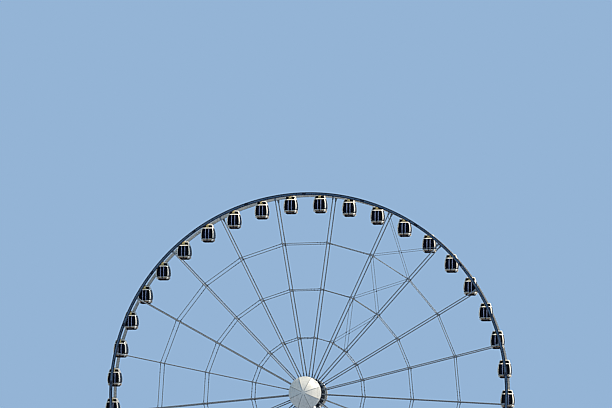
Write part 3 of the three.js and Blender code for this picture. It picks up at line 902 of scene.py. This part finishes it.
def add_deck_post(piece, x, y):
    for half, top in ((0.09, DECK_TOP - 0.12), (0.17, BEAM_TOP + 0.03)):
        piece.slab(x, y, half, half, BEAM_TOP + 0.001, top, 0.02)
    for u, v in signs(0.13, 0.13):
        piece.bolt((x + u, y + v, BEAM_TOP + 0.03), UP, 0.018, 0.02)


def add_rail_post(piece, foot, sunk, height, ring):
    """Post of a railing with a ring at its foot. Gives its top."""
    top = foot + UP * height
    piece.rod(foot - UP * sunk, top, 0.035)
    piece.rod(foot, foot + UP * 0.015, ring, smooth=False)
    return top


def add_railing(piece, start, end, bays):
    """Posts, three rails, a toe board and upright bars between them."""
    for i in range(bays + 1):
        add_rail_post(piece, start.lerp(end, i / bays), 0.1, RAIL_TOP, 0.075)
    for height, radius in ((RAIL_TOP, 0.03), (RAIL_HEIGHT / 2, 0.02), (TOE_RAIL, 0.014)):
        piece.rod(start + UP * height, end + UP * height, radius)
    along = (end - start).normalized()
    piece.add(run(start + UP * 0.06, end + UP * 0.06, chamfered(0.012, 0.1, 0.003), up=UP))
    count = int((end - start).length / 0.13)
    for i in range(1, count):
        foot = start.lerp(end, i / count)
        piece.rod(foot + UP * TOE_RAIL, foot + UP * RAIL_TOP, 0.009, sides=6)
    for spot in (start, end):
        knob = spot + UP * RAIL_TOP
        piece.rod(knob - along * 0.03, knob + along * 0.03, 0.033)


def steps(side):
    """Flight of grip treads between two stringers, with handrails."""
    piece = Piece(f"steps_{ENDS[side]}", "flight", "galvanised")
    riser, start, underside = DECK_TOP / RISER_COUNT, DECK_OUTER + 0.0006, DECK_TOP - STEPS_THICKNESS
    end = start + RISER_COUNT * TREAD_DEPTH
    stringer = (
        (start, DECK_TOP), (start + TREAD_DEPTH, DECK_TOP), (end, riser), (end, 0.0),
        (start + underside / (riser / TREAD_DEPTH), 0.0), (start, underside),
    )
    inside = STEPS_HALF - STRINGER_WIDTH
    for way in (-1, 1):
        piece.add(side_plate([(side * y, z) for y, z in stringer], way * STEPS_HALF, way * inside))
    for i in range(RISER_COUNT):
        y, z = start + i * TREAD_DEPTH, DECK_TOP - i * riser
        nose, under = y + TREAD_DEPTH, z - TREAD_THICKNESS
        for near, far, low, high, cut, finish in (
            (y, nose, under, z, 0.006, "tread_grip"),
            (nose - 0.03, nose, z - 0.001, z + 0.004, 0.002, "nosing"),
            (nose - 0.02, nose - 0.008, max(z - riser, 0.0), under, 0.002, "galvanised"),
        ):
            piece.box((-inside, side * near, low), (inside, side * far, high), cut, finish)
    for x in (RAIL_INSET - STEPS_HALF, STEPS_HALF - RAIL_INSET):
        tops = []
        for tread in HANDRAIL_TREADS:
            y = start + (tread - 0.5) * TREAD_DEPTH
            foot = Vector((x, side * y, DECK_TOP - (tread - 1) * riser))
            tops.append(add_rail_post(piece, foot, 0.05, RAIL_HEIGHT - 0.06, 0.07))
        for down, radius in ((0.0, 0.03), (0.5, 0.02)):
            piece.rod(tops[0] - UP * down, tops[-1] - UP * down, radius)
        for spot in (tops[0], tops[-1]):
            piece.rod(spot - UP * 0.04, spot + UP * 0.03, 0.037)
    piece.show()


# Cabin


def half_width(z):
    """Half width of the barrel, on a smooth line through its points."""
    z = min(max(z, BARREL[0][0]), BARREL[-1][0])
    i = next(i for i in range(len(BARREL) - 1) if z <= BARREL[i + 1][0])

    def slope(k):
        a, b = BARREL[max(k - 1, 0)], BARREL[min(k + 1, len(BARREL) - 1)]
        return (b[1] - a[1]) / (b[0] - a[0])

    (z0, w0), (z1, w1) = BARREL[i], BARREL[i + 1]
    span = z1 - z0
    t = (z - z0) / span
    return (
        (2 * t ** 3 - 3 * t ** 2 + 1) * w0 + (t ** 3 - 2 * t ** 2 + t) * span * slope(i)
        + (3 * t ** 2 - 2 * t ** 3) * w1 + (t ** 3 - t ** 2) * span * slope(i + 1)
    )


def plan(share):
    """Outline of a rounded square. Its corners' middles are at whole numbers, and the front is from 0 to 1."""
    side, local = divmod(share, 1)
    flat, turned = 1 - CORNER_SHARE, min(local, 1 - local) / CORNER_ARC
    if turned < 1:
        angle = math.radians(45) + turned * math.radians(45)
        x = math.copysign(flat + CORNER_SHARE * math.cos(angle), local - 0.5)
        y = -flat - CORNER_SHARE * math.sin(angle)
    else:
        x, y = -flat + 2 * flat * (local - CORNER_ARC) / (1 - 2 * CORNER_ARC), -1.0
    for _ in range(int(side) % 4):
        x, y = -y, x
    return x, y


def skin(share, z, inset):
    """Point of the barrel, pushed in by the inset."""
    wide = half_width(z) - inset
    x, y = plan(share)
    return Vector((x * (wide + EXTRA_WIDTH), y * wide, z))


def layers(levels):
    """Barrel through levels of (height, inset)."""
    return sweep([[skin(s, z, inset) for s in SHARES] for z, inset in levels])


def heights(low, high, count):
    return [low + (high - low) * i / count for i in range(count + 1)]


def hull(low, high, inset, count):
    return layers([(z, inset) for z in heights(low, high, count)])


def band(low, high, outer, inner, cut=0.012, lean=0.0):
    """Band round the barrel. A lean pushes its lower edge out and its upper edge in."""
    section = (
        (low, inner), (low, outer - lean + cut), (low + cut, outer - lean),
        (high - cut, outer + lean), (high, outer + lean + cut), (high, inner),
    )
    return sweep([[skin(s, z, inset) for z, inset in section] for s in SHARES], closed=True)


def strip(share, reach, low, high, outer, inner, count, columns=4):
    """Upright strip on the barrel, round a place of its plan."""
    edge = reach * 0.86
    places = [(share - reach, inner), (share - reach, outer + 0.012)]
    places += [(share - edge + 2 * edge * i / columns, outer) for i in range(columns + 1)]
    places += [(share + reach, outer + 0.012), (share + reach, inner)]
    return sweep([[skin(s, z, inset) for s, inset in places] for z in heights(low, high, count)])


def front_y(face, z, out):
    """y of a point that stands out from the front (face -1) or the rear (face 1)."""
    return face * (half_width(z) + out)


def front_strip(x, half, low, high, outer, inner, count, face):
    """Upright strip of even width on the flat of a face."""
    rings = []
    for z in heights(low, high, count):
        out, back, lip = (front_y(face, z, -inset) for inset in (outer, inner, outer + 0.01))
        rings.append([
            (x - half, back, z), (x - half, lip, z), (x - half + 0.012, out, z),
            (x + half - 0.012, out, z), (x + half, lip, z), (x + half, back, z),
        ])
    return sweep(rings)


def cabin_mesh():
    """Barrel cabin round its pivot: glazing in a light frame, a dark belly and a hanger."""
    piece = Piece("cabin", finish="cream")
    ledge = SILL[1] - LEDGE_HEIGHT
    for shape, finish in (
        (hull(SILL[0] + 0.05, HEADER[1] - 0.05, 0.035, 16), "glass"),
        (band(*HEADER, 0.0, 0.08, lean=0.03), "cream"),
        (band(SILL[0], ledge, -0.012, 0.06), "sill"),
        # the ledge band is painted lighter than the sill: partly paint, partly a painted highlight of the
        # sunlit top edge
        (band(ledge, SILL[1], -0.002, 0.07, lean=0.03), "ledge"),
        *((band(z, z + 0.045, 0.02, 0.06), "seal") for z in (HEADER[0] - 0.035, SILL[1] - 0.01)),
    ):
        piece.add(shape, finish, smooth=True)
    for corner in range(4):
        add_corner(piece, corner, 1 if corner % 2 else -1)
    for face in (-1, 1):
        for x in (-MULLION_PLACE, MULLION_PLACE):
            bar = front_strip(x, 0.04, SILL[1] - 0.02, HEADER[0] + 0.02, 0.008, 0.05, 14, face)
            piece.add(bar, "mullion", smooth=True)
        add_door(piece, face)
    for place in (1.33, 1.67, 3.33, 3.67):
        piece.add(strip(place, 0.006, SILL[1], HEADER[0], 0.024, 0.05, 14, 1), "seal", smooth=True)
    piece.add(layers(BELLY), "belly", smooth=True)
    for x in (-POD_PLACE, POD_PLACE):
        piece.add(block(x, 0.12, POD), "seal")
    piece.add(block(0.0, 0.02, SPINE), "belly")
    add_roof(piece)
    add_hanger(piece)
    return piece.mesh()


def add_corner(piece, corner, way):
    """Corner post with its seals, and a rounded bumper at its foot."""
    middle, upper = corner + way * POST_SHIFT, corner + way * 0.085
    beside = middle - (POST_REACH + 0.006), middle + (POST_REACH + 0.006)
    for shape, finish in (
        (strip(middle, POST_REACH, POST_FOOT, HEADER[1] - 0.01, -0.012, 0.07, 18), "cream"),
        (strip(upper, 0.035, HEADER[1] - 0.02, ROOF[0] + 0.03, -0.006, 0.07, 4), "cream"),
        (strip(middle, POST_REACH * 0.8, SILL[0] + 0.02, POST_FOOT + 0.01, 0.02, 0.07, 4), "seal"),
        *((strip(place, 0.008, SILL[1], HEADER[0], 0.018, 0.06, 14, 1), "seal") for place in beside),
    ):
        piece.add(shape, finish, smooth=True)
    rings = []
    for z, reach, wide in BUMPER:
        ring = [skin(middle - reach, z, 0.06), skin(middle - reach, z, 0.0)]
        ring += [skin(middle + reach * step, z, half_width(z) - wide) for step in (-0.8, -0.4, 0.0, 0.4, 0.8)]
        rings.append(ring + [skin(middle + reach, z, 0.0), skin(middle + reach, z, 0.06)])
    piece.add(sweep(rings), smooth=True)


def add_door(piece, face):
    """Hinges, handle and foot of a door."""
    x = MULLION_PLACE
    for z in (-0.95, -1.75):
        y = front_y(face, z, -0.002)
        piece.rod((-x, y, z - 0.06), (-x, y, z + 0.06), 0.018, "zinc", 8)
    piece.rod((x, front_y(face, -1.5, 0.02), -1.58), (x, front_y(face, -1.4, 0.02), -1.34), 0.014, "zinc", 8)
    for z in (-1.57, -1.35):
        y = front_y(face, z, -0.002)
        piece.nut((x, y, z), (x, y + face * 0.025, z), 0.01)
    foot = front_strip(0.0, 0.07, SILL[0] - 0.01, SILL[1] + 0.01, -0.024, 0.06, 6, face)
    piece.add(foot, "seal", smooth=True)
    near, far = front_y(face, SILL[0], -0.04), front_y(face, SILL[0], 0.03)
    piece.box((-0.3, near, SILL[0] - 0.03), (0.3, far, SILL[0] + 0.005), 0.01, "zinc")


def add_roof(piece):
    """Roof box with louvres, near black as partly its own dark paint and partly painted shade of the recess,
    with light sides and a light top.
    """
    low, high = HEADER[1] - 0.06, ROOF[0] + 0.03
    # near-black box: partly dark paint, partly painted shade of the recess
    piece.add(hull(low, high, 0.1, 4), "louvre_paint_and_shade", smooth=True)
    for side in (1, 3):
        places = [(side + step, 0.0) for step in PANEL_STEPS]
        places += [(side + step, 0.11) for step in reversed(PANEL_STEPS)]
        panel = [[skin(s, z, inset) for s, inset in places] for z in heights(low, high, 4)]
        piece.add(sweep(panel), smooth=True)
    for face in (-1, 1):
        for i in range(4):
            z = HEADER[1] + 0.05 + i * 0.055
            slat = ((-0.03, 0.0), (-0.02, 0.006), (-0.09, 0.04), (-0.1, 0.034))
            outline = [(front_y(face, z, out), z + up) for out, up in slat]
            # near-black louvres: partly dark paint, partly painted shade of the recess
            piece.add(side_plate(outline, -0.5, 0.5), "louvre_paint_and_shade")
    piece.add(band(*ROOF, 0.0, 0.12, 0.02), smooth=True)
    piece.add(layers([(ROOF[1] - 0.06, 0.1), (ROOF[1] - 0.015, 0.1), (ROOF[1], 0.2)]), smooth=True)


def add_hanger(piece):
    """Axle and the brackets of the cabin."""

    def add_round(start, end, radius, finish):
        piece.rod((0, start, 0), (0, end, 0), radius, finish, 20)

    add_round(-AXLE_REACH, AXLE_REACH, 0.062, "zinc")
    for face in (-1, 1):
        add_round(face * 0.5, face * 0.93, 0.085, "cream")
        add_round(face * 0.96, face * (AXLE_REACH - 0.001), 0.105, "zinc")
        piece.add(plate(BRACKET, face * 0.6, face * 0.66), "ochre")
        for x in (-0.12, 0.12):
            piece.bolt((x, face * 0.66, HEADER[1] + 0.05), (0, face, 0), 0.02, 0.018)
        add_round(face * 0.655, face * 0.69, 0.1, "zinc")
        piece.add(plate(SADDLE, face * 0.12, face * 0.2))


def cabins():
    mesh = cabin_mesh()
    for i in range(CABIN_COUNT):
        node = f"cabin_{i + 1:02d}"
        pivot = polar(PIVOT_RADIUS, wheel_angle(i + 0.5, CABIN_COUNT))
        show_mesh(f"{node}_capsule", mesh, node, node, pivot)


# Scene


def direction(azimuth, elevation):
    """Direction to a place in the sky. Azimuth 0 is in front, and it turns to the right."""
    level = math.cos(elevation)
    return Vector((math.sin(azimuth) * level, -math.cos(azimuth) * level, math.sin(elevation)))


def stage():
    """Pale floor, sky light and the sun."""
    mesh = bpy.data.meshes.new("floor")
    corners = [(*on_circle(FLOOR_REACH, i * FULL_TURN / FLOOR_SIDES), 0.0) for i in range(FLOOR_SIDES)]
    mesh.from_pydata(corners, [], [tuple(range(FLOOR_SIDES))])
    pale = paint("floor_pale", (146, 158, 178), 0.9, uneven=0.03, patch=0.05, grime=0.0, bump=0.0)
    mesh.materials.append(pale)
    placed("floor", mesh)

    world = bpy.data.worlds.new("studio")
    world.use_nodes = True
    fill(world.node_tree, world.node_tree.nodes["Background"], {"Color": linear(*SKY_COLOUR)})
    bpy.context.scene.world = world
    bpy.context.scene.view_settings.view_transform = "Standard"

    light = bpy.data.lights.new("key", "SUN")
    light.energy, light.angle, light.color = SUN_STRENGTH, SUN_SOFTNESS, SUN_COLOUR
    towards = direction(SUN_AZIMUTH, SUN_ELEVATION)
    placed("key", light).rotation_euler = towards.to_track_quat("Z", "Y").to_euler()


def camera():
    """Camera of the photograph, turned so that the hub falls on its pixel."""
    back = direction(CAMERA_AZIMUTH, CAMERA_ELEVATION)
    forward = -back
    right = forward.cross(UP).normalized()
    up = right.cross(forward)
    pan = math.atan((HUB_PIXEL[0] - IMAGE_WIDTH / 2) / FOCAL_PIXELS)
    drop = (HUB_PIXEL[1] - IMAGE_HEIGHT / 2) / FOCAL_PIXELS
    turn = Matrix.Rotation(pan, 3, up)
    right, forward = turn @ right, turn @ forward
    turn = Matrix.Rotation(math.atan(drop * math.cos(pan)), 3, right)
    forward, up = turn @ forward, turn @ up
    data = bpy.data.cameras.new("camera")
    data.sensor_width = SENSOR_WIDTH
    data.lens = FOCAL_PIXELS / IMAGE_WIDTH * SENSOR_WIDTH
    data.clip_start, data.clip_end = 1.0, 2000.0
    eye = placed("camera", data)
    place = (Vector((0, 0, HUB_HEIGHT)) + back * CAMERA_DISTANCE) * MODEL_SCALE
    eye.matrix_world = Matrix.Translation(place) @ Matrix((right, up, -forward)).transposed().to_4x4()
    bpy.context.scene.camera = eye


def picture():
    """Makes the picture a little crisper, as seen and not in linear light."""
    bpy.context.scene.use_nodes = True
    tree = bpy.context.scene.node_tree
    tree.nodes.clear()
    image = tree.nodes.new("CompositorNodeRLayers").outputs["Image"]
    for kind, key, value in (
        ("Gamma", "Gamma", 1 / SCREEN_GAMMA), ("Filter", "Fac", CRISPNESS), ("Gamma", "Gamma", SCREEN_GAMMA),
    ):
        settings = {"filter_type": "SHARPEN"} if kind == "Filter" else {}
        node = new_node(tree, "CompositorNode" + kind, {key: value, "Image": image}, **settings)
        image = node.outputs["Image"]
    new_node(tree, "CompositorNodeComposite", {"Image": image})


camera()
stage()
picture()
for facing in (-1, 1):
    for build in (rim, spokes, housing, dome, deck, steps):
        build(facing)
hub()
for facing, hand in signs(1, 1):
    leg(facing, hand)
base_frame()
cabins()
